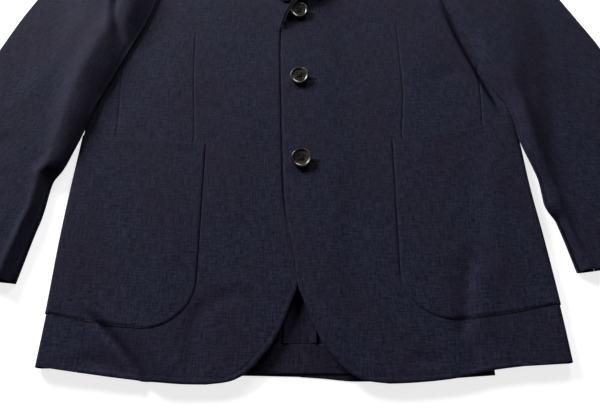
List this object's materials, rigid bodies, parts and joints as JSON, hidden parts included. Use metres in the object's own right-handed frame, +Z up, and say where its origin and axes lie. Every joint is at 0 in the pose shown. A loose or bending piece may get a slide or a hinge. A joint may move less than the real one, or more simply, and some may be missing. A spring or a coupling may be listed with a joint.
{
  "type": "blazer",
  "caption": "Single-breasted three-button blazer of dark navy linen with two large patch pockets and rounded fronts, laid out flat on its back.",
  "frame": {"origin": "middle of the garment's box on the surface that it lies on", "axes": "+X towards the wearer's left side, which laps over; +Y from the hem to the collar; +Z up, out of the surface"},
  "size_m": [0.7818, 0.7594, 0.0233],
  "materials": {
    "linen": "plain-weave navy linen, matt and slightly slubby",
    "linen_inside": "wrong side of the same linen, matt",
    "horn": "dark polished horn-like button"
  },
  "bodies": {
    "root": {"front_left": "linen", "front_right": "linen", "side_panel_left": "linen", "side_panel_right": "linen", "lapel_left": "linen", "lapel_right": "linen", "patch_pocket_left": "linen", "patch_pocket_right": "linen", "top_sleeve_left": "linen", "top_sleeve_right": "linen", "under_sleeve_left": "linen", "under_sleeve_right": "linen", "collar": "linen", "back_left": "linen_inside", "back_right": "linen_inside", "back_hem_turn_left": "linen_inside", "back_hem_turn_right": "linen_inside", "back_seam_allowance_left": "linen_inside", "back_seam_allowance_right": "linen_inside", "button_top": "horn", "button_middle": "horn", "button_bottom": "horn"}
  },
  "joints": []
}
